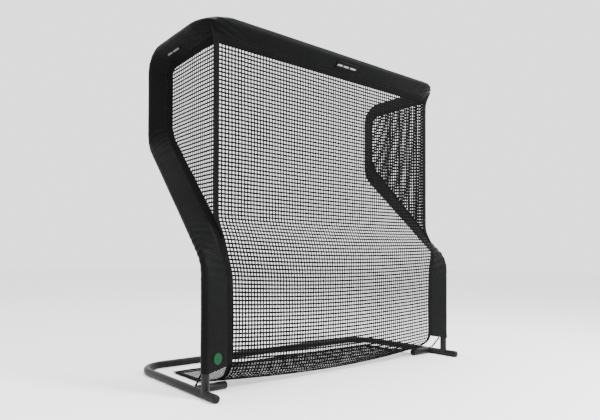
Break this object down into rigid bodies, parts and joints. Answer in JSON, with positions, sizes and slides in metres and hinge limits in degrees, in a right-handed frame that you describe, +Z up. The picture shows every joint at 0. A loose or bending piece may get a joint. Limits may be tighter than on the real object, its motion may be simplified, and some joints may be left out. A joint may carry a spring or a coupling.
{
  "type": "golf practice net",
  "caption": "Free-standing golf practice net: a tube frame with fabric-covered uprights, a main net that slopes onto the floor, and a side net at each edge.",
  "frame": {"origin": "bottom centre of the object's bounding box, on the floor", "axes": "+Z up, +X across the width, +Y towards the golfer, so the pocket opens to +Y and the back of the net faces -Y"},
  "size_m": [2.438, 1.0661, 2.286],
  "materials": {
    "powder_coat": "satin charcoal powder coat on tube",
    "cap_plastic": "black moulded end caps",
    "bare_steel": "plain steel buttons and studs",
    "sleeve_fabric": "black woven polyester sleeve, slight sheen",
    "webbing": "black flat woven webbing",
    "netting": "black knotless square-mesh netting",
    "elastic_cord": "black braided elastic cord",
    "label_print": null
  },
  "bodies": {
    "frame": {"base_arm_left": "powder_coat", "floor_bar_left": "powder_coat", "stub_left": "powder_coat", "post_spigot_left": "powder_coat", "post_left": "powder_coat", "side_tube_left": "powder_coat", "side_top_tube_left": "powder_coat", "top_bar_left": "powder_coat", "arm_cap_left": "cap_plastic", "stub_cap_left": "cap_plastic", "cord_stud_left": "bare_steel", "sleeve_left": "sleeve_fabric", "edge_tape_left": "webbing", "strap_left": "webbing", "hem_side_left": "webbing", "side_net_left": "netting", "tie_cord_left": "elastic_cord", "base_arm_right": "powder_coat", "floor_bar_right": "powder_coat", "stub_right": "powder_coat", "post_spigot_right": "powder_coat", "post_right": "powder_coat", "side_tube_right": "powder_coat", "side_top_tube_right": "powder_coat", "top_bar_right": "powder_coat", "arm_cap_right": "cap_plastic", "stub_cap_right": "cap_plastic", "cord_stud_right": "bare_steel", "sleeve_right": "sleeve_fabric", "edge_tape_right": "webbing", "strap_right": "webbing", "hem_side_right": "webbing", "side_net_right": "netting", "tie_cord_right": "elastic_cord", "sleeve_top": "sleeve_fabric", "edge_tape_top": "webbing", "hem_front": "webbing", "main_net": "netting", "label_top": "label_print", "label_side": "label_print", "label_round": "label_print"},
    "button_corner_left_body": {"button_corner_left": "bare_steel"},
    "button_corner_right_body": {"button_corner_right": "bare_steel"},
    "button_diagonal_left_body": {"button_diagonal_left": "bare_steel"},
    "button_diagonal_right_body": {"button_diagonal_right": "bare_steel"},
    "button_floor_bar_body": {"button_floor_bar": "bare_steel"},
    "button_post_left_body": {"button_post_left": "bare_steel"},
    "button_post_right_body": {"button_post_right": "bare_steel"},
    "button_side_top_left_body": {"button_side_top_left": "bare_steel"},
    "button_side_top_right_body": {"button_side_top_right": "bare_steel"},
    "button_top_bar_body": {"button_top_bar": "bare_steel"},
    "button_upper_left_body": {"button_upper_left": "bare_steel"},
    "button_upper_right_body": {"button_upper_right": "bare_steel"}
  },
  "joints": [
    {"name": "press_corner_left", "type": "slide", "parent": "frame", "child": "button_corner_left_body", "axis": [0, 0, 1], "range_m": [-0.005, 0], "stiffness_N_per_m": 800, "springref_m": 0.002},
    {"name": "press_corner_right", "type": "slide", "parent": "frame", "child": "button_corner_right_body", "axis": [0, 0, 1], "range_m": [-0.005, 0], "stiffness_N_per_m": 800, "springref_m": 0.002},
    {"name": "press_diagonal_left", "type": "slide", "parent": "frame", "child": "button_diagonal_left_body", "axis": [0.6549, -0.561, 0.5064], "range_m": [-0.005, 0], "stiffness_N_per_m": 800, "springref_m": 0.002},
    {"name": "press_diagonal_right", "type": "slide", "parent": "frame", "child": "button_diagonal_right_body", "axis": [-0.6549, -0.561, 0.5064], "range_m": [-0.005, 0], "stiffness_N_per_m": 800, "springref_m": 0.002},
    {"name": "press_floor_bar", "type": "slide", "parent": "frame", "child": "button_floor_bar_body", "axis": [0, 0, 1], "range_m": [-0.005, 0], "stiffness_N_per_m": 800, "springref_m": 0.002},
    {"name": "press_post_left", "type": "slide", "parent": "frame", "child": "button_post_left_body", "axis": [0, 1, 0], "range_m": [-0.005, 0], "stiffness_N_per_m": 800, "springref_m": 0.002},
    {"name": "press_post_right", "type": "slide", "parent": "frame", "child": "button_post_right_body", "axis": [0, 1, 0], "range_m": [-0.005, 0], "stiffness_N_per_m": 800, "springref_m": 0.002},
    {"name": "press_side_top_left", "type": "slide", "parent": "frame", "child": "button_side_top_left_body", "axis": [0.6059, 0, -0.7955], "range_m": [-0.005, 0], "stiffness_N_per_m": 800, "springref_m": 0.002},
    {"name": "press_side_top_right", "type": "slide", "parent": "frame", "child": "button_side_top_right_body", "axis": [-0.6059, 0, -0.7955], "range_m": [-0.005, 0], "stiffness_N_per_m": 800, "springref_m": 0.002},
    {"name": "press_top_bar", "type": "slide", "parent": "frame", "child": "button_top_bar_body", "axis": [0, 0.5006, -0.8657], "range_m": [-0.005, 0], "stiffness_N_per_m": 800, "springref_m": 0.002},
    {"name": "press_upper_left", "type": "slide", "parent": "frame", "child": "button_upper_left_body", "axis": [0.5504, -0.8349, 0], "range_m": [-0.005, 0], "stiffness_N_per_m": 800, "springref_m": 0.002},
    {"name": "press_upper_right", "type": "slide", "parent": "frame", "child": "button_upper_right_body", "axis": [-0.5504, -0.8349, 0], "range_m": [-0.005, 0], "stiffness_N_per_m": 800, "springref_m": 0.002}
  ]
}
